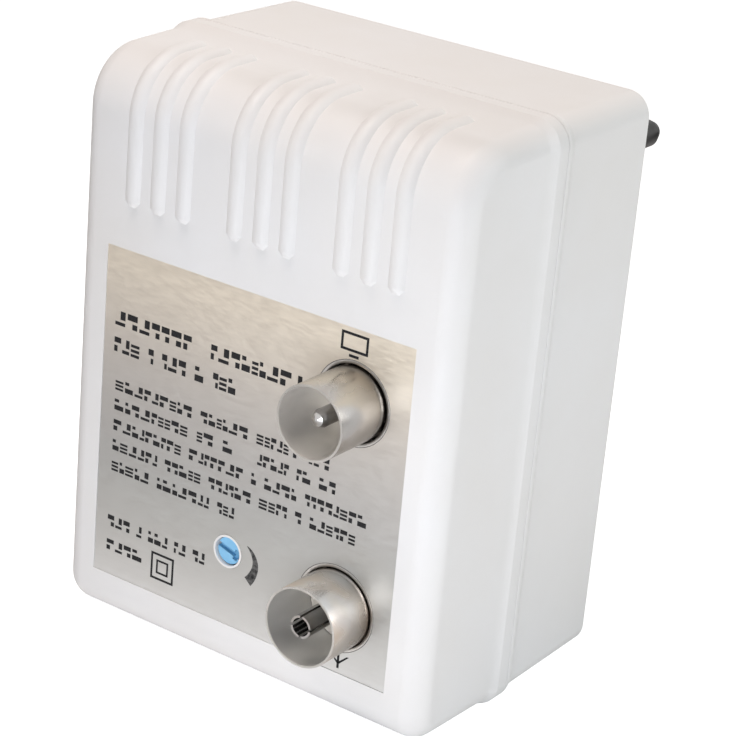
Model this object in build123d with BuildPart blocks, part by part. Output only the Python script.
"""Plug-in mains aerial amplifier: a two-part moulded case with a plug at its back, two coaxial
sockets and a gain trimmer at its front, and the mains transformer and amplifier board inside.

Millimetres. X runs to the right as seen from the front, Y runs back into the wall, and Z runs up.
The origin is on the plug face, midway between the two pins.
"""

import os
from math import asin, cos, radians, sin, tan

from build123d import *

os.makedirs("parts", exist_ok=True)

# Flat sides of the round forms that stay out of sight inside the case
wide_sides = 24
hidden_sides = 16
small_sides = 12

# Case: outside sizes at the flat front face, drafts, edge radii and wall
case_width = 57.6
case_height = 76.2
case_depth = 40.2
front_depth = 19.2
front_draft = 0.95
rear_draft = 0.56
side_radius = 3.1
top_front_radius = 7.5
bottom_front_radius = 4.4
rear_edge_chamfer = 1.3
wall = 2.0
least_radius_share = 0.2
corner_lean = 4.0

# Plug: a flattened moulding that reaches into a recessed socket outlet, and two round pins
plug_reach = 17.8
plug_width = 33.0
plug_height = 13.7
plug_flat = 21.0
plug_end_height = 5.2
plug_corner_radius = 2.4
plug_rim_chamfer = 0.6
plug_draft = 1.0
plug_end_wall = 3.2
plug_below_top = 16.65
pin_spacing = 19.0
pin_diameter = 4.0
pin_length = 19.0
tip_angle_shares = (0, 0.5, 1)
pin_core_diameter = 3.0
pin_collar_diameter = 6.4
pin_collar_thickness = 1.4
pin_tab_length = 6.0
pin_tab_width = 3.0
pin_tab_thickness = 0.8
pin_tab_hole = 1.9
pin_seat_wall = 1.0
sleeve_diameter = 3.6
sleeve_reach = 9.5

# Raised band where the two shells meet, with a fine groove at the seam
band_proud = 0.5
band_crest = 2.0
band_flank = 1.5
band_land = 0.6
band_rear_flank = 1.3
seam_groove = 0.14
lip_length = 1.5
lip_thickness = 0.9
lip_clearance = 0.12
shell_gap = 0.06

# Nine raised ribs, in three groups of three, that bend over the top front edge
rib_width = 2.4
rib_height = 0.6
rib_pitch = 4.0
rib_group_pitch = 16.0
rib_groups = 3
ribs_in_group = 3
rib_foot_above_label = 5.7
rib_reach_on_top = 12.0
rib_flat_shares = (-1, -0.6, -0.2, 0.2, 0.6, 1)
rib_end_turns = (45, 90, 135)

# Label plate in its shallow recess
label_side_margin = 5.2
label_top_margin = 24.4
label_bottom_margin = 6.5
label_thickness = 0.4
label_gap = 0.35
label_bed = 0.02
recess_depth = 0.5

# Coaxial sockets: the one that feeds the television is a plug with a pin, the one for the
# aerial lead is a socket with a split tube
socket_inset = 13.5
tv_below_label_top = 9.45
aerial_above_label_foot = 8.55
tv_diameter = 9.525
tv_bore = 8.3
tv_reach = 8.4
aerial_diameter = 10.4
aerial_bore = 9.6
aerial_reach = 7.0
tv_label_hole = 11.2
aerial_label_hole = 12.0
socket_case_gap = 0.25
socket_neck_relief = 0.3
flange_diameter = 12.8
flange_thickness = 1.3
flange_gap = 0.1
crimp_length = 0.9
insulator_thickness = 3.0
insulator_back = 0.4
fit_gap = 0.05
centre_pin_diameter = 2.3
centre_pin_setback = 1.2
centre_tube_diameter = 3.0
centre_tube_bore = 2.4
centre_tube_setback = 0.2
centre_tube_depth = 8.5
centre_tube_slit = 0.35
centre_tail_diameter = 1.2
slit_depth_share = 0.6
solder_reach = 0.9

# Gain trimmer
trimmer_side_share = -0.02951
trimmer_above_label_foot = 10.15
trimmer_diameter = 3.6
trimmer_turning_gap = 0.15
trimmer_collar = 0.28
trimmer_label_gap = 0.05
trimmer_body_size = 6.3
trimmer_body_height = 4.6
trimmer_seat_depth = 1.5
trimmer_front_setback = 0.45
trimmer_slot_width = 0.7
trimmer_slot_depth = 0.6
trimmer_slot_angle = -16.4
trimmer_mark_length = 1.5
trimmer_mark_share = 0.62
trimmer_leg = 0.6
trimmer_leg_pitch = 5.0

# Amplifier board with its tin shield on both faces
board_side_margin = 3.0
board_top_margin = 24.45
board_bottom_margin = 7.95
board_thickness = 1.6
board_setback = 9.0
board_hole_gap = 0.15
tin = 0.5
can_setback = 3.6
can_beyond_trimmer = 4.5
can_side_margin = 0.4
can_top_margin = 2.4
can_bottom_margin = 0.2
cover_height = 5.6

# Screws and the pillars that they draw together
screw_inset = 4.9
screw_core = 2.2
screw_bore = 2.3
screw_clearance_hole = 3.2
screw_head = 4.6
screw_head_height = 1.7
screw_grip = 3.0
screw_length = 11.0
screw_well = 5.0
screw_recess_width = 0.8
screw_recess_length = 2.8
screw_recess_depth = 0.9
front_pillar = 5.4
rear_pillar = 7.0
board_post = 5.0
board_post_side_inset = 3.2
board_post_top_inset = 4.8
board_post_bottom_inset = 4.4
board_screw_length = 6.0

# Mains transformer on its cradle
core_width = 30.0
core_stack = 12.0
core_setback = 10.0
core_back_margin = 5.2
bobbin_top_gap = 1.35
bobbin_wall = 0.8
bobbin_flange_thickness = 1.0
bobbin_flange_height = 17.4
bobbin_gap = 0.15
flange_shares = (0, 0.5, 1)
winding_lap = 0.5
cradle_wall = 1.6
cradle_ledge = 3.2
cradle_gap = 0.2
fuse_length = 8.0
fuse_width_share = 0.684
fuse_thickness = 1.6
fuse_round_share = 0.2
tag_size = 0.8
tag_reach = 3.6
primary_tag_share = 0.71
secondary_tag_shares = (-0.853, -0.345)

# Wires
mains_wire = 1.7
mains_wire_bend = 2.6
low_wire = 1.2
low_wire_bend = 1.4
wire_sides = 6
wire_gap = 0.05
mains_bend_shares = (0.3, 0.7)

# Parts of the power supply on the back of the board, placed as shares of its width and height
part_gap = 0.1
reservoir_diameter = 10.0
reservoir_height = 16.0
output_capacitor_diameter = 6.3
output_capacitor_height = 11.0
capacitor_rim = 0.5
bridge_size = (8.6, 3.0, 6.4)
bridge_from_post = 7.2
regulator_diameter = 4.8
regulator_height = 4.8
regulator_flat = 1.3
reservoir_shares = (-0.337, -0.121)
output_capacitor_shares = (-0.264, 0.18)
bridge_height_share = 0.386
regulator_shares = (-0.221, -0.39)

# Parts under the shield, placed as shares of its width and height from its middle
transistor_size = (2.9, 1.1, 2.4)
chip_capacitor_size = (2.0, 1.1, 1.25)
chip_resistor_size = (2.0, 0.55, 1.25)
choke_diameter = 2.6
choke_length = 6.4
balun_size = (7.0, 3.4, 5.2)
balun_bore = 1.6
transistor_shares = ((-0.035, 0.204), (-0.035, -0.1))
chip_capacitor_shares = (
    (0.092, 0.204), (-0.161, 0.204), (0.092, -0.1),
    (-0.161, -0.1), (0.313, -0.221), (0.313, 0.216),
)
chip_resistor_shares = (
    (-0.035, 0.289), (-0.035, 0.119), (-0.035, -0.015),
    (-0.035, -0.184), (-0.193, -0.269), (0.313, 0.058),
)
choke_shares = ((-0.272, 0.083), (0.139, 0.053))
balun_shares = (-0.288, 0.313)
overrun = 1.0

# Places that follow from the sizes above
rear_y = -plug_reach
front_y = rear_y - case_depth
seam_y = front_y + front_depth
rear_depth = case_depth - front_depth
top_z = plug_below_top
mid_z = top_z - case_height / 2
bottom_z = top_z - case_height
label_width = case_width - 2 * label_side_margin
label_top_z = top_z - label_top_margin
label_foot_z = bottom_z + label_bottom_margin
label_height = label_top_z - label_foot_z
label_z = (label_top_z + label_foot_z) / 2
socket_x = case_width / 2 - socket_inset
tv_z = label_top_z - tv_below_label_top
aerial_z = label_foot_z + aerial_above_label_foot
trimmer_x = case_width * trimmer_side_share
trimmer_z = label_foot_z + trimmer_above_label_foot
board_width = case_width - 2 * board_side_margin
board_top_z = top_z - board_top_margin
board_foot_z = bottom_z + board_bottom_margin
board_height = board_top_z - board_foot_z
board_z = (board_top_z + board_foot_z) / 2
core_length = case_depth - core_setback - core_back_margin
core_leg = core_width / 3
core_yoke = core_leg / 2
window_width = (core_width - core_leg - 2 * core_yoke) / 2
flange_half_x = core_leg / 2 + window_width - bobbin_gap
primary_tag_x = primary_tag_share * flange_half_x
secondary_tag_x = [share * flange_half_x for share in secondary_tag_shares]
core_z = top_z - wall - bobbin_top_gap - bobbin_flange_height / 2
board_front_y = front_y + board_setback
board_back_y = board_front_y + board_thickness
can_front_y = front_y + can_setback
core_front_y = front_y + core_setback
core_back_y = core_front_y + core_length
front_growth = front_depth * tan(radians(front_draft))
seam_width = case_width + 2 * front_growth
seam_height = case_height + 2 * front_growth
screw_x = case_width / 2 - screw_inset
screw_places = [
    (side * screw_x, z)
    for side in (-1, 1)
    for z in (top_z - screw_inset, bottom_z + screw_inset)
]
board_post_x = board_post_side_inset - board_width / 2
board_post_high_z = board_top_z - board_post_top_inset
board_post_low_z = board_foot_z + board_post_bottom_inset
board_post_places = [(board_post_x, board_post_high_z), (board_post_x, board_post_low_z)]
pin_places = [(side * pin_spacing / 2, 0) for side in (-1, 1)]


def upright(y):
    """The plane at depth y that is sketched in x and z, and extrudes towards the front."""
    return Plane.XZ.offset(-y)


def backward(y):
    """The plane at depth y that is sketched in -x and z, and extrudes towards the back."""
    return Plane(origin=(0, y, 0), x_dir=(-1, 0, 0), z_dir=(0, 1, 0))


def rolled(radius, inset):
    """An edge radius as it is on a face set in by inset, never less than a share of itself."""
    return max(radius - inset, radius * least_radius_share)


def half_case(end_y, draft, inset, top_radius, bottom_radius):
    """A drafted half of the case, set in by inset: its side view crossed with its view from above."""
    toward = 1 if end_y > seam_y else -1
    reach = abs(end_y - seam_y) - inset
    far_y = seam_y + toward * reach
    lean = reach * tan(radians(draft))
    wide, high = seam_width / 2 - inset, seam_height / 2 - inset
    with BuildPart() as block:
        with BuildSketch(Plane.YZ) as side_view:
            top, far_top = (seam_y, mid_z + high), (far_y, mid_z + high - lean)
            bottom, far_bottom = (seam_y, mid_z - high), (far_y, mid_z - high + lean)
            Polygon(top, far_top, far_bottom, bottom, align=None)
            for end, radius in ((-1, top_radius), (0, bottom_radius)):
                far_corners = side_view.vertices().group_by(Axis.X)[-1 if toward > 0 else 0]
                if radius:
                    fillet(far_corners.sort_by(Axis.Y)[end], radius)
        extrude(amount=seam_width, both=True)
        with BuildSketch(Plane.XY.offset(mid_z)):
            near, far = [(-wide, seam_y), (wide, seam_y)], [(wide - lean, far_y), (lean - wide, far_y)]
            Polygon(*near, *far, align=None)
        extrude(amount=seam_height, both=True, mode=Mode.INTERSECT)
    return block.part


def seam_outline(inset, mode=Mode.ADD):
    """The outline of the case at the seam, set in by inset, or out where that is negative."""
    with Locations((0, mid_z)):
        RectangleRounded(
            seam_width - 2 * inset,
            seam_height - 2 * inset,
            rolled(side_radius, inset),
            mode=mode,
        )


def case_band(plane, land, flank):
    """The band on one shell: flat from the seam over its land, then sloping into the wall."""
    sunk = wall / 2
    run = flank * (band_proud + sunk) / band_proud
    with BuildPart() as band:
        with BuildSketch(plane(seam_y)):
            seam_outline(-band_proud)
        extrude(amount=land + run)
        far_face = band.faces().sort_by(Axis.Y)[0 if plane is upright else -1]
        chamfer(far_face.edges(), band_proud + sunk, run, reference=far_face)
    return band.part


def rib_plane(y, z, angle):
    """The plane across a rib at a place: x to the right, and y straight out of the surface."""
    back_y, back_z = cos(radians(angle)), sin(radians(angle))
    return Plane(origin=(0, y, z), x_dir=(1, 0, 0), z_dir=(0, -back_y, -back_z))


def rib_section():
    """The section of a rib: a shallow bead in a few flats, rooted in the wall."""
    bead = ((rib_width / 2) ** 2 + rib_height**2) / (2 * rib_height)
    sunk = bead - rib_height
    spread = asin(rib_width / 2 / bead)
    angles = [share * spread for share in rib_flat_shares]
    crown = [(bead * sin(angle), bead * cos(angle) - sunk) for angle in angles]
    Polygon((-rib_width / 2, -sunk), *crown, (rib_width / 2, -sunk), align=None)


def rib_end(place):
    """The rounded end of a rib: its own section crossed with itself in a few directions."""
    with BuildPart() as end:
        with BuildSketch(place):
            rib_section()
        extrude(amount=rib_width, both=True)
        for turn in rib_end_turns:
            over, along = cos(radians(turn)), sin(radians(turn))
            across = place.x_dir * over + place.z_dir * along
            forward = place.z_dir * over - place.x_dir * along
            with BuildSketch(Plane(origin=place.origin, x_dir=across, z_dir=forward)):
                rib_section()
            extrude(amount=rib_width, both=True, mode=Mode.INTERSECT)
    return end.part


def rib_bar():
    """One raised rib: a bead up the front face, round the top edge, and a little way over the top."""
    turn_y = front_y + top_front_radius
    straight = tan(radians(front_draft)) * top_front_radius
    turn_z = top_z + straight - top_front_radius / cos(radians(front_draft))
    foot_z = label_top_z + rib_foot_above_label + rib_width / 2
    level_y = turn_y - top_front_radius * sin(radians(front_draft))
    level_z = turn_z + top_front_radius * cos(radians(front_draft))
    run = rib_reach_on_top - rib_width / 2 - (level_y - front_y)
    foot, bend = rib_plane(front_y, foot_z, 90), rib_plane(front_y, turn_z, 90)
    level = rib_plane(level_y, level_z, front_draft)
    tip = rib_plane(
        level_y + run * cos(radians(front_draft)), level_z + run * sin(radians(front_draft)), front_draft
    )
    foot_end, tip_end = rib_end(foot), rib_end(tip)
    with BuildPart() as bar:
        with BuildSketch(foot):
            rib_section()
        extrude(amount=foot_z - turn_z)
        with BuildSketch(bend):
            rib_section()
        revolve(axis=Axis((0, turn_y, turn_z), (-1, 0, 0)), revolution_arc=90 - front_draft)
        with BuildSketch(level):
            rib_section()
        extrude(amount=-run)
        add([foot_end, tip_end])
    return bar.part


def box_between(low, high):
    """A box from its lowest corner to its highest."""
    size = [b - a for a, b in zip(low, high)]
    middle = [(a + b) / 2 for a, b in zip(low, high)]
    with BuildPart() as block:
        with Locations(tuple(middle)):
            Box(*size)
    return block.part


def nosed_rod(x, z, radius, start_y, end_y):
    """A round rod along y from its start to its rounded nose, which is turned in a few flats."""
    toward = 1 if end_y > start_y else -1
    round_y = end_y - toward * radius
    angles = [radians(90 * share) for share in tip_angle_shares]
    nose = [(radius * cos(angle), radius * sin(angle)) for angle in angles]
    with BuildPart() as rod:
        with BuildSketch(Plane(origin=(x, 0, z), x_dir=(1, 0, 0), z_dir=(0, 0, 1))):
            outline = [(across, round_y + toward * along) for across, along in nose[:-1]]
            Polygon((0, start_y), (radius, start_y), *outline, (0, end_y), align=None)
        revolve(axis=Axis((x, 0, z), (0, 1, 0)))
    return rod.part


def write(part, name):
    """Labels a finished piece and writes it to its own file."""
    part.label = name
    export_step(part, f"parts/{name}.step")


def socket_hole(diameter):
    """The radius of the hole in the front wall round a coaxial socket."""
    return diameter / 2 + socket_case_gap


# Front shell: outer form, band and ribs, then the hollow, then what is moulded inside it
with BuildPart() as front_outer:
    add(half_case(front_y, front_draft, 0, top_front_radius, bottom_front_radius))
    for end in (0, -1):
        flank_face = front_outer.faces().sort_by(Axis.X)[end]
        flank_edges = flank_face.edges().filter_by(lambda edge: edge.center().Y < seam_y - shell_gap)
        fillet(flank_edges, side_radius)
inner_top_radius, inner_bottom_radius = rolled(top_front_radius, wall), rolled(bottom_front_radius, wall)
front_hollow = half_case(front_y, front_draft, wall, inner_top_radius, inner_bottom_radius)
rib_places = [
    (group - (rib_groups - 1) / 2) * rib_group_pitch + (one - (ribs_in_group - 1) / 2) * rib_pitch
    for group in range(rib_groups)
    for one in range(ribs_in_group)
]
rib_form = rib_bar()
front_band = case_band(upright, band_crest, band_flank)

cradle_inner_x = core_width / 2 + cradle_gap
cradle_outer_x = cradle_inner_x + cradle_wall
cradle_low_z = core_z - core_stack / 2 - cradle_wall
cradle_high_z = core_z + core_stack / 2 + cradle_wall
ledge_x = cradle_outer_x - cradle_wall - cradle_ledge


def cradle_arms(low_y, high_y, stop_y, outward):
    """The two brackets of one shell round the transformer core: side wall, ledge and end stop."""
    stop_low, stop_high = sorted((stop_y, stop_y + outward * cradle_wall))
    seat_z = core_z - core_stack / 2
    side = box_between((cradle_inner_x, low_y, cradle_low_z), (cradle_outer_x, high_y, cradle_high_z))
    ledge = box_between((ledge_x, low_y, cradle_low_z), (cradle_inner_x, high_y, seat_z))
    stop = box_between((ledge_x, stop_low, cradle_low_z), (cradle_inner_x, stop_high, cradle_high_z))
    with BuildPart() as arms:
        add([side, ledge, stop])
        mirror(about=Plane.YZ)
    return arms.part


front_cradle = cradle_arms(front_y + wall / 2, seam_y - shell_gap, core_front_y - fit_gap, -1)
rear_cradle = cradle_arms(seam_y + lip_length / 2, rear_y - wall / 2, core_back_y + fit_gap, 1)


with BuildPart() as front_posts:
    with BuildSketch(upright(seam_y - shell_gap)):
        with Locations(*screw_places):
            RegularPolygon(front_pillar / 2, hidden_sides)
    extrude(amount=front_depth)
    with BuildSketch(upright(board_front_y - flange_gap)):
        with Locations(*board_post_places):
            RegularPolygon(board_post / 2, hidden_sides)
    extrude(amount=board_setback)
    add(front_cradle)
    add(front_outer.part, mode=Mode.INTERSECT)

with BuildPart() as front_shell:
    add(front_outer.part)
    add(front_band)
    seam_rim = front_shell.faces().sort_by(Axis.Y)[-1].edges()
    chamfer(seam_rim, seam_groove)
    with Locations(*[(x, 0, 0) for x in rib_places]):
        add(rib_form)
    add(front_hollow, mode=Mode.SUBTRACT)
    add(front_posts.part)
    with BuildSketch(upright(seam_y)):
        seam_outline(wall - lip_thickness - lip_clearance)
        seam_outline(wall + lip_thickness + lip_clearance, mode=Mode.SUBTRACT)
    extrude(amount=lip_length + lip_clearance, mode=Mode.SUBTRACT)
    with BuildSketch(upright(front_y)):
        with Locations((0, label_z)):
            Rectangle(label_width + 2 * label_gap, label_height + 2 * label_gap)
        with Locations((trimmer_x, trimmer_z)):
            Circle(trimmer_diameter / 2 + trimmer_turning_gap + trimmer_collar, mode=Mode.SUBTRACT)
    extrude(amount=-recess_depth, mode=Mode.SUBTRACT)
    with BuildSketch(upright(front_y)):
        with Locations((socket_x, tv_z)):
            Circle(socket_hole(tv_diameter))
        with Locations((socket_x, aerial_z)):
            Circle(socket_hole(aerial_diameter))
        with Locations((trimmer_x, trimmer_z)):
            Circle(trimmer_diameter / 2 + trimmer_turning_gap)
    extrude(amount=-(wall + overrun), mode=Mode.SUBTRACT)
    with BuildSketch(upright(seam_y)):
        with Locations(*screw_places):
            RegularPolygon(screw_bore / 2, small_sides)
    extrude(amount=screw_length - screw_grip + overrun, mode=Mode.SUBTRACT)
    with BuildSketch(upright(board_front_y)):
        with Locations(*board_post_places):
            RegularPolygon(screw_bore / 2, small_sides)
    extrude(amount=board_screw_length - board_thickness + overrun, mode=Mode.SUBTRACT)
write(front_shell.part, "front_shell")

# Rear shell: the other half, with its lip, the plug and the four screw wells
with BuildPart() as rear_outer:
    add(half_case(rear_y, rear_draft, 0, 0, 0))
    along_share = cos(radians(corner_lean))
    corner_edges = rear_outer.edges().filter_by(lambda edge: abs(edge.tangent_at(0).Y) > along_share)
    fillet(corner_edges, side_radius)
    chamfer(rear_outer.faces().sort_by(Axis.Y)[-1].edges(), rear_edge_chamfer)
rear_hollow = half_case(rear_y, rear_draft, wall, 0, 0)
rear_band = case_band(backward, band_land, band_rear_flank)


def plug_outline(inset):
    """The corners of the flattened six-sided plug with its blunt ends, set in by inset."""
    high, end = plug_height / 2 - inset, plug_end_height / 2 - inset / 2
    wide, flat = plug_width / 2 - inset, plug_flat / 2 - inset / 2
    right = [(flat, high), (wide, end), (wide, -end), (flat, -high)]
    return right + [(-x, z) for x, z in reversed(right)]


def plug_block(inset, reach):
    """The plug from inside the back wall out to a plane, drafted, set in by inset."""
    root_y = rear_y - wall
    with BuildPart() as block:
        with BuildSketch(backward(root_y)) as outline:
            Polygon(*plug_outline(inset), align=None)
            fillet(outline.vertices(), rolled(plug_corner_radius, inset))
        extrude(amount=reach - root_y)
        end_face = block.faces().sort_by(Axis.Y)[-1]
        draft_run = reach - rear_y
        chamfer(end_face.edges(), draft_run * tan(radians(plug_draft)), draft_run, reference=end_face)
    return block.part


plug_outer = plug_block(0, 0)
plug_hollow = plug_block(wall, -plug_end_wall)

with BuildPart() as rear_pillars:
    with BuildSketch(backward(seam_y + shell_gap)):
        with Locations(*screw_places):
            RegularPolygon(rear_pillar / 2, hidden_sides)
    extrude(amount=rear_depth)
    add(rear_cradle)
    add(rear_outer.part, mode=Mode.INTERSECT)

with BuildPart() as rear_shell:
    add(rear_outer.part)
    add(rear_band)
    chamfer(rear_shell.faces().sort_by(Axis.Y)[0].edges(), seam_groove)
    add(plug_outer)
    chamfer(rear_shell.faces().sort_by(Axis.Y)[-1].edges(), plug_rim_chamfer)
    add(rear_hollow, mode=Mode.SUBTRACT)
    add(plug_hollow, mode=Mode.SUBTRACT)
    with BuildSketch(upright(seam_y + wall)):
        seam_outline(wall - lip_thickness)
        seam_outline(wall + lip_thickness, mode=Mode.SUBTRACT)
    extrude(amount=wall + lip_length)
    add(rear_pillars.part)
    with BuildSketch(upright(-plug_end_wall)):
        with Locations(*pin_places):
            RegularPolygon(pin_collar_diameter / 2 + fit_gap + pin_seat_wall, hidden_sides)
    extrude(amount=pin_collar_thickness)
    with BuildSketch(upright(-plug_end_wall)):
        with Locations(*pin_places):
            RegularPolygon(pin_collar_diameter / 2 + fit_gap, hidden_sides)
    extrude(amount=pin_collar_thickness + overrun, mode=Mode.SUBTRACT)
    with BuildSketch(backward(-plug_end_wall - overrun)):
        with Locations(*pin_places):
            RegularPolygon(sleeve_diameter / 2 + fit_gap, hidden_sides)
    extrude(amount=plug_end_wall + 2 * overrun, mode=Mode.SUBTRACT)
    with BuildSketch(backward(seam_y)):
        with Locations(*screw_places):
            RegularPolygon(screw_clearance_hole / 2, small_sides)
    extrude(amount=rear_depth + overrun, mode=Mode.SUBTRACT)
    with BuildSketch(backward(seam_y + screw_grip)):
        with Locations(*screw_places):
            RegularPolygon(screw_well / 2, wide_sides)
    extrude(amount=rear_depth, mode=Mode.SUBTRACT)
write(rear_shell.part, "rear_shell")

# Label plate: thin aluminium with three holes, glued to the floor of the recess
label_face_y = front_y + recess_depth - label_bed
with BuildPart() as label_plate:
    with BuildSketch(upright(label_face_y)):
        with Locations((0, label_z)):
            Rectangle(label_width, label_height)
        with Locations((socket_x, tv_z)):
            Circle(tv_label_hole / 2, mode=Mode.SUBTRACT)
        with Locations((socket_x, aerial_z)):
            Circle(aerial_label_hole / 2, mode=Mode.SUBTRACT)
        with Locations((trimmer_x, trimmer_z)):
            ring = trimmer_turning_gap + trimmer_collar + trimmer_label_gap
            Circle(trimmer_diameter / 2 + ring, mode=Mode.SUBTRACT)
    extrude(amount=label_thickness)
write(label_plate.part, "label_plate")


def socket_barrel(z, diameter, bore, reach):
    """The metal barrel of a coaxial socket, from its rim to where it is crimped behind the can."""
    rim_y = front_y - reach
    flange_y = front_y + wall + flange_gap
    with BuildPart() as barrel:
        with BuildSketch(backward(rim_y)):
            with Locations((-socket_x, z)):
                Circle(diameter / 2)
        extrude(amount=reach)
        with BuildSketch(backward(front_y)):
            with Locations((-socket_x, z)):
                RegularPolygon(diameter / 2 - socket_neck_relief, wide_sides)
        extrude(amount=can_front_y + tin + crimp_length - front_y)
        with BuildSketch(backward(flange_y)):
            with Locations((-socket_x, z)):
                RegularPolygon(flange_diameter / 2, hidden_sides)
        extrude(amount=flange_thickness)
        with BuildSketch(backward(rim_y)):
            with Locations((-socket_x, z)):
                Circle(bore / 2)
        extrude(amount=can_front_y + tin + crimp_length + overrun - rim_y, mode=Mode.SUBTRACT)
    return barrel.part


def socket_insulator(z, bore, hole):
    """The moulded disc that holds the centre contact of a socket in the back of its barrel."""
    back_y = can_front_y + tin + insulator_back
    with BuildPart() as disc:
        with BuildSketch(upright(back_y)):
            with Locations((socket_x, z)):
                RegularPolygon(bore / 2 - fit_gap, wide_sides)
                RegularPolygon(hole / 2 + fit_gap, hidden_sides, mode=Mode.SUBTRACT)
        extrude(amount=insulator_thickness)
    return disc.part


# Sockets: barrels, insulating discs and centre contacts
write(socket_barrel(tv_z, tv_diameter, tv_bore, tv_reach), "tv_socket_barrel")
write(socket_barrel(aerial_z, aerial_diameter, aerial_bore, aerial_reach), "aerial_socket_barrel")
write(socket_insulator(tv_z, tv_bore, centre_pin_diameter), "tv_socket_insulator")
write(socket_insulator(aerial_z, aerial_bore, centre_tube_diameter), "aerial_socket_insulator")

contact_back_y = can_front_y + tin + insulator_back
tail_end_y = board_back_y + solder_reach
pin_tip_y = front_y - tv_reach + centre_pin_setback
tv_rod = nosed_rod(socket_x, tv_z, centre_pin_diameter / 2, contact_back_y, pin_tip_y)
with BuildPart() as tv_centre_pin:
    add(tv_rod)
    with BuildSketch(backward(contact_back_y)):
        with Locations((-socket_x, tv_z)):
            RegularPolygon(centre_tail_diameter / 2, small_sides)
    extrude(amount=tail_end_y - contact_back_y)
write(tv_centre_pin.part, "tv_centre_pin")

with BuildPart() as aerial_centre_contact:
    tube_rim_y = front_y - aerial_reach + centre_tube_setback
    with BuildSketch(backward(tube_rim_y)):
        with Locations((-socket_x, aerial_z)):
            Circle(centre_tube_diameter / 2)
    extrude(amount=contact_back_y - tube_rim_y)
    with BuildSketch(backward(tube_rim_y)):
        with Locations((-socket_x, aerial_z)):
            Circle(centre_tube_bore / 2)
            Rectangle(centre_tube_diameter + overrun, centre_tube_slit)
            Rectangle(centre_tube_slit, centre_tube_diameter + overrun)
    extrude(amount=centre_tube_depth * slit_depth_share, mode=Mode.SUBTRACT)
    with BuildSketch(backward(tube_rim_y)):
        with Locations((-socket_x, aerial_z)):
            Circle(centre_tube_bore / 2)
    extrude(amount=centre_tube_depth, mode=Mode.SUBTRACT)
    with BuildSketch(backward(contact_back_y)):
        with Locations((-socket_x, aerial_z)):
            RegularPolygon(centre_tail_diameter / 2, small_sides)
    extrude(amount=tail_end_y - contact_back_y)
write(aerial_centre_contact.part, "aerial_centre_contact")

# Gain trimmer: body with its seat, the turning disc with its slot, and three legs
trimmer_radius = trimmer_diameter / 2
trimmer_face_y = front_y + trimmer_front_setback
trimmer_body_y = board_front_y - trimmer_body_height
trimmer_seat_y = trimmer_body_y + trimmer_seat_depth
with BuildPart() as gain_trimmer_body:
    with BuildSketch(upright(board_front_y)):
        with Locations((trimmer_x, trimmer_z)):
            Rectangle(trimmer_body_size, trimmer_body_size)
    extrude(amount=trimmer_body_height)
    with BuildSketch(upright(trimmer_seat_y)):
        with Locations((trimmer_x, trimmer_z)):
            RegularPolygon(trimmer_radius + trimmer_turning_gap, hidden_sides)
    extrude(amount=trimmer_seat_depth, mode=Mode.SUBTRACT)
write(gain_trimmer_body.part, "gain_trimmer_body")

with BuildPart() as gain_trimmer_rotor:
    with BuildSketch(upright(trimmer_seat_y - trimmer_turning_gap)):
        with Locations((trimmer_x, trimmer_z)):
            Circle(trimmer_radius)
    extrude(amount=trimmer_seat_y - trimmer_turning_gap - trimmer_face_y)
    mark_x = trimmer_radius * trimmer_mark_share
    with BuildSketch(upright(trimmer_face_y)):
        with Locations(Location((trimmer_x, trimmer_z), trimmer_slot_angle)):
            Rectangle(trimmer_diameter + trimmer_turning_gap, trimmer_slot_width)
            with Locations((mark_x, 0)):
                Rectangle(trimmer_slot_width, trimmer_mark_length)
    extrude(amount=-trimmer_slot_depth, mode=Mode.SUBTRACT)
write(gain_trimmer_rotor.part, "gain_trimmer_rotor")

half_pitch = trimmer_leg_pitch / 2
trimmer_leg_places = [
    (trimmer_x + x, trimmer_z + z)
    for x, z in ((-half_pitch, -half_pitch), (half_pitch, -half_pitch), (0, half_pitch))
]
with BuildPart() as gain_trimmer_legs:
    with BuildSketch(backward(board_front_y)):
        with Locations(*[(-x, z) for x, z in trimmer_leg_places]):
            Rectangle(trimmer_leg, trimmer_leg)
    extrude(amount=board_thickness + solder_reach)
write(gain_trimmer_legs.part, "gain_trimmer_legs")

# Amplifier board, drilled for what is soldered or screwed to it
wire_hole_z = board_top_z - can_top_margin / 2
with BuildPart() as circuit_board:
    with BuildSketch(upright(board_back_y)):
        with Locations((0, board_z)):
            Rectangle(board_width, board_height)
        with Locations((socket_x, tv_z), (socket_x, aerial_z)):
            RegularPolygon(centre_tail_diameter / 2 + board_hole_gap, small_sides, mode=Mode.SUBTRACT)
        with Locations(*trimmer_leg_places):
            leg_hole = trimmer_leg + board_hole_gap
            Rectangle(leg_hole, leg_hole, mode=Mode.SUBTRACT)
        with Locations(*[(x, wire_hole_z) for x in secondary_tag_x]):
            RegularPolygon(low_wire / 2 + board_hole_gap, small_sides, mode=Mode.SUBTRACT)
        with Locations(*board_post_places):
            RegularPolygon(screw_clearance_hole / 2, small_sides, mode=Mode.SUBTRACT)
    extrude(amount=board_thickness)
write(circuit_board.part, "circuit_board")

# Tin shield: an open can on the front of the board, and a cover over the back of it
can_left, can_right = trimmer_x - can_beyond_trimmer, board_width / 2 - can_side_margin
can_foot_z, can_top_z = board_foot_z + can_bottom_margin, board_top_z - can_top_margin
can_size = (can_right - can_left, can_top_z - can_foot_z)
can_middle = ((can_right + can_left) / 2, (can_top_z + can_foot_z) / 2)


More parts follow.
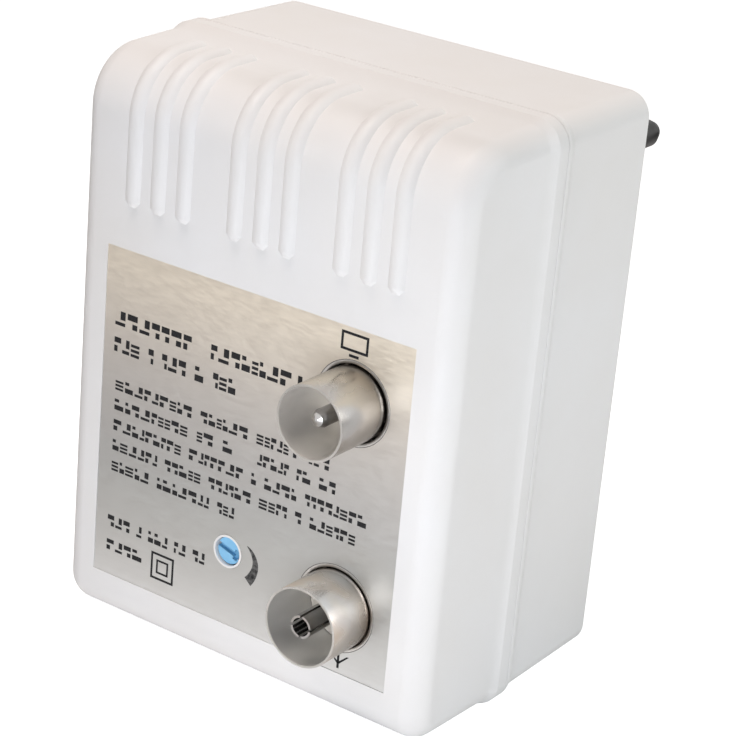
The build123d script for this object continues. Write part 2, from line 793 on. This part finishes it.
def tray(floor_y, depth, plane):
    """A folded tin tray: its floor at a depth, and its four walls running back or forward."""
    with BuildPart() as folded:
        with BuildSketch(plane(floor_y)):
            with Locations((can_middle[0] if plane is upright else -can_middle[0], can_middle[1])):
                Rectangle(*can_size)
        extrude(amount=depth)
        with BuildSketch(plane(floor_y + (tin if plane is backward else -tin))):
            with Locations((can_middle[0] if plane is upright else -can_middle[0], can_middle[1])):
                Rectangle(*[side - 2 * tin for side in can_size])
        extrude(amount=depth, mode=Mode.SUBTRACT)
    return folded.part


can_tray = tray(can_front_y, board_front_y - can_front_y, backward)
with BuildPart() as shield_can:
    add(can_tray)
    with BuildSketch(upright(can_front_y + tin)):
        with Locations((socket_x, tv_z)):
            RegularPolygon(tv_diameter / 2 - socket_neck_relief + fit_gap, wide_sides)
        with Locations((socket_x, aerial_z)):
            RegularPolygon(aerial_diameter / 2 - socket_neck_relief + fit_gap, wide_sides)
        with Locations((trimmer_x, trimmer_z)):
            RegularPolygon(trimmer_radius + 2 * trimmer_turning_gap, hidden_sides)
    extrude(amount=2 * tin, mode=Mode.SUBTRACT)
write(shield_can.part, "shield_can")
write(tray(board_back_y + cover_height, cover_height, upright), "shield_cover")


def under_shield(shares):
    """The place on the board of each pair of shares of the shield's size."""
    return [
        (can_middle[0] + across * can_size[0], can_middle[1] + up * can_size[1]) for across, up in shares
    ]


def on_board(places, size):
    """Small blocks that stand on the back of the board, one at each place, all of one size."""
    across, tall, high = size
    with BuildPart() as blocks:
        with BuildSketch(backward(board_back_y + part_gap)):
            with Locations(*[(-x, z) for x, z in places]):
                Rectangle(across, high)
        extrude(amount=tall)
    return blocks.part


# What is soldered to the back of the board under the cover
write(on_board(under_shield(transistor_shares), transistor_size), "amplifier_transistors")
write(on_board(under_shield(chip_capacitor_shares), chip_capacitor_size), "chip_capacitors")
write(on_board(under_shield(chip_resistor_shares), chip_resistor_size), "chip_resistors")

balun_across, balun_tall, balun_high = balun_size
balun_x, balun_z = under_shield([balun_shares])[0]
balun_mid_y = board_back_y + part_gap + balun_tall / 2
with BuildPart() as balun_core:
    add(on_board([(balun_x, balun_z)], balun_size))
    with BuildSketch(Plane(origin=(balun_x, balun_mid_y, balun_z))):
        with GridLocations(balun_across / 2, 0, 2, 1):
            RegularPolygon(balun_bore / 2, small_sides)
    extrude(amount=balun_high, both=True, mode=Mode.SUBTRACT)
write(balun_core.part, "balun_core")

with BuildPart() as filter_chokes:
    choke_y = board_back_y + part_gap + choke_diameter / 2
    for choke_x, choke_z in under_shield(choke_shares):
        with BuildSketch(Plane(origin=(choke_x, choke_y, choke_z), z_dir=(1, 0, 0))):
            RegularPolygon(choke_diameter / 2, hidden_sides)
        extrude(amount=choke_length / 2, both=True)
write(filter_chokes.part, "filter_chokes")


# Power supply parts that stand on the back of the board, beside the shield
def beside_shield(shares):
    """The place on the board of one pair of shares of the board's own size."""
    return shares[0] * board_width, board_z + shares[1] * board_height


def can_capacitor(place, diameter, height):
    """An upright electrolytic capacitor in its sleeve, with a rolled rim at its top."""
    with BuildPart() as capacitor:
        with BuildSketch(backward(board_back_y + part_gap)):
            with Locations((-place[0], place[1])):
                RegularPolygon(diameter / 2, wide_sides)
        extrude(amount=height)
        chamfer(capacitor.faces().sort_by(Axis.Y)[-1].edges(), capacitor_rim)
    return capacitor.part


reservoir_place = beside_shield(reservoir_shares)
output_place = beside_shield(output_capacitor_shares)
write(can_capacitor(reservoir_place, reservoir_diameter, reservoir_height), "reservoir_capacitor")
output_capacitor = can_capacitor(output_place, output_capacitor_diameter, output_capacitor_height)
write(output_capacitor, "output_capacitor")
bridge_place = (board_post_x + bridge_from_post, board_z + bridge_height_share * board_height)
write(on_board([bridge_place], bridge_size), "bridge_rectifier")

regulator_x, regulator_z = beside_shield(regulator_shares)
with BuildPart() as voltage_regulator:
    with BuildSketch(backward(board_back_y + part_gap)):
        with Locations((-regulator_x, regulator_z)):
            RegularPolygon(regulator_diameter / 2, hidden_sides)
            with Locations((regulator_diameter - regulator_flat, 0)):
                Rectangle(regulator_diameter, 2 * regulator_diameter, mode=Mode.SUBTRACT)
    extrude(amount=regulator_height)
write(voltage_regulator.part, "voltage_regulator")

# Mains transformer: laminated core, bobbin with three flanges, two windings, tags and cut-out
window_length = core_length - 2 * core_yoke
core_mid_y = core_front_y + core_length / 2
bobbin_front_y = core_front_y + core_yoke + bobbin_gap
bobbin_back_y = core_back_y - core_yoke - bobbin_gap
tube_half_x = core_leg / 2 + bobbin_gap + bobbin_wall
tube_half_z = core_stack / 2 + bobbin_gap + bobbin_wall
with BuildPart() as transformer_core:
    with BuildSketch(Plane.XY.offset(core_z - core_stack / 2)):
        with Locations((0, core_mid_y)):
            Rectangle(core_width, core_length)
            with GridLocations(core_leg + window_width, 0, 2, 1):
                Rectangle(window_width, window_length, mode=Mode.SUBTRACT)
    extrude(amount=core_stack)
write(transformer_core.part, "transformer_core")

flange_starts = [
    bobbin_front_y + share * (bobbin_back_y - bobbin_front_y - bobbin_flange_thickness)
    for share in flange_shares
]
with BuildPart() as transformer_bobbin:
    with BuildSketch(backward(bobbin_front_y)):
        with Locations((0, core_z)):
            Rectangle(2 * tube_half_x, 2 * tube_half_z)
    extrude(amount=bobbin_back_y - bobbin_front_y)
    for start in flange_starts:
        with BuildSketch(backward(start)):
            with Locations((0, core_z)):
                Rectangle(2 * flange_half_x, bobbin_flange_height)
        extrude(amount=bobbin_flange_thickness)
    with BuildSketch(backward(bobbin_front_y)):
        with Locations((0, core_z)):
            Rectangle(core_leg + 2 * bobbin_gap, core_stack + 2 * bobbin_gap)
    extrude(amount=core_length, mode=Mode.SUBTRACT)
write(transformer_bobbin.part, "transformer_bobbin")


def winding(start_y, end_y):
    """The finished body of one winding under its tape, between two flanges of the bobbin."""
    outer_x = 2 * (flange_half_x - winding_lap)
    outer_z = bobbin_flange_height - 2 * winding_lap
    with BuildPart() as coil:
        with BuildSketch(backward(start_y)):
            with Locations((0, core_z)):
                RectangleRounded(outer_x, outer_z, 2 * winding_lap)
                inner_x, inner_z = tube_half_x + fit_gap, tube_half_z + fit_gap
                Rectangle(2 * inner_x, 2 * inner_z, mode=Mode.SUBTRACT)
        extrude(amount=end_y - start_y)
    return coil.part


secondary_room = (flange_starts[0] + bobbin_flange_thickness, flange_starts[1])
primary_room = (flange_starts[1] + bobbin_flange_thickness, flange_starts[2])
write(winding(secondary_room[0] + fit_gap, secondary_room[1] - fit_gap), "secondary_winding")
write(winding(primary_room[0] + fit_gap, primary_room[1] - fit_gap), "primary_winding")

flange_low_z = core_z - bobbin_flange_height / 2
tag_z = flange_low_z - tag_size / 2
primary_tag_y = flange_starts[2]
secondary_tag_y = flange_starts[0] + bobbin_flange_thickness / 2
with BuildPart() as winding_tags:
    with BuildSketch(backward(primary_tag_y)):
        with Locations((-primary_tag_x, tag_z), (primary_tag_x, tag_z)):
            Rectangle(tag_size, tag_size)
    extrude(amount=tag_reach)
    with BuildSketch(Plane.XY.offset(flange_low_z)):
        with Locations(*[(x, secondary_tag_y) for x in secondary_tag_x]):
            Rectangle(tag_size, tag_size)
    extrude(amount=-tag_size)
write(winding_tags.part, "winding_tags")

fuse_top_z = core_z - bobbin_flange_height / 2 + winding_lap
fuse_mid_y = (primary_room[0] + primary_room[1]) / 2
fuse_width = fuse_width_share * (primary_room[1] - primary_room[0])
with BuildPart() as thermal_cutout:
    with BuildSketch(Plane.XY.offset(fuse_top_z)):
        with Locations((0, fuse_mid_y)):
            RectangleRounded(fuse_length, fuse_width, fuse_width * fuse_round_share)
    extrude(amount=-fuse_thickness)
write(thermal_cutout.part, "thermal_cutout")

# Plug pins: bare round tip, thinner core under the sleeve, collar seated inside, solder tab
pin_radius = pin_diameter / 2
collar_y = -plug_end_wall - pin_collar_thickness
tab_end_y = collar_y - pin_tab_length


def plug_pin(x):
    """One pin of the plug, turned from brass rod, with its flattened and drilled tab."""
    tip = nosed_rod(x, 0, pin_radius, sleeve_reach, pin_length)
    with BuildPart() as pin:
        add(tip)
        with BuildSketch(backward(collar_y)):
            with Locations((-x, 0)):
                RegularPolygon(pin_core_diameter / 2, hidden_sides)
        extrude(amount=sleeve_reach - collar_y)
        with BuildSketch(backward(collar_y)):
            with Locations((-x, 0)):
                RegularPolygon(pin_collar_diameter / 2, hidden_sides)
        extrude(amount=pin_collar_thickness)
        with BuildSketch(Plane.XY.offset(-pin_tab_thickness / 2)):
            with Locations((x, collar_y - pin_tab_length / 2)):
                Rectangle(pin_tab_width, pin_tab_length)
            with Locations((x, tab_end_y + pin_tab_width / 2)):
                RegularPolygon(pin_tab_hole / 2, small_sides, mode=Mode.SUBTRACT)
        extrude(amount=pin_tab_thickness)
    return pin.part


write(plug_pin(-pin_spacing / 2), "neutral_pin")
write(plug_pin(pin_spacing / 2), "live_pin")

sleeve_start_y = -plug_end_wall
with BuildPart() as pin_sleeves:
    with BuildSketch(backward(sleeve_start_y)):
        with Locations(*pin_places):
            Circle(sleeve_diameter / 2)
            RegularPolygon(pin_core_diameter / 2, hidden_sides, mode=Mode.SUBTRACT)
    extrude(amount=sleeve_reach - sleeve_start_y)
write(pin_sleeves.part, "pin_sleeves")


def wire(points, diameter, bend):
    """An insulated wire: straight runs joined by round bends, drawn with a few flat sides."""
    with BuildPart() as lead:
        with BuildLine() as route:
            FilletPolyline(*points, radius=bend)
        with BuildSketch(Plane(origin=points[0], z_dir=route.line % 0)):
            RegularPolygon(diameter / 2, wire_sides)
        sweep(path=route.line)
    return lead.part


# Wires from the pin tabs to the primary tags, and from the secondary tags to the board
primary_tag_end_y = primary_tag_y + tag_reach
mains_join_y = tab_end_y - wire_gap
mains_runs = mains_join_y - primary_tag_end_y - wire_gap


def mains_lead(side):
    """The wire of one pin, from the end of its tag on the bobbin to the end of its tab."""
    tag_x, pin_x = side * primary_tag_x, side * pin_spacing / 2
    start_y = primary_tag_end_y + wire_gap
    points = [
        (tag_x, start_y, tag_z),
        (tag_x, start_y + mains_runs * mains_bend_shares[0], tag_z),
        (pin_x, start_y + mains_runs * mains_bend_shares[1], 0),
        (pin_x, mains_join_y, 0),
    ]
    return wire(points, mains_wire, mains_wire_bend)


write(mains_lead(-1), "neutral_wire")
write(mains_lead(1), "live_wire")

secondary_start_z = flange_low_z - tag_size - wire_gap


def low_lead(x):
    """One wire from a secondary tag down and forward into its hole in the board."""
    points = [
        (x, secondary_tag_y, secondary_start_z),
        (x, secondary_tag_y, wire_hole_z),
        (x, board_front_y - solder_reach, wire_hole_z),
    ]
    return wire(points, low_wire, low_wire_bend)


for side, x in zip(("left", "right"), secondary_tag_x):
    write(low_lead(x), f"{side}_low_voltage_wire")


def pan_screws(places, seat_y, length):
    """Self-tapping pan head screws that enter forwards from a seat, each with a cross recess."""
    with BuildPart() as screws:
        with BuildSketch(upright(seat_y)):
            with Locations(*places):
                RegularPolygon(screw_core / 2, small_sides)
        extrude(amount=length)
        with BuildSketch(backward(seat_y)):
            with Locations(*[(-x, z) for x, z in places]):
                RegularPolygon(screw_head / 2, hidden_sides)
        extrude(amount=screw_head_height)
        with BuildSketch(upright(seat_y + screw_head_height)):
            with Locations(*places):
                Rectangle(screw_recess_width, screw_recess_length)
                Rectangle(screw_recess_length, screw_recess_width)
        extrude(amount=screw_recess_depth, mode=Mode.SUBTRACT)
    return screws.part


write(pan_screws(screw_places, seam_y + screw_grip, screw_length), "case_screws")
write(pan_screws(board_post_places, board_back_y, board_screw_length), "board_screws")
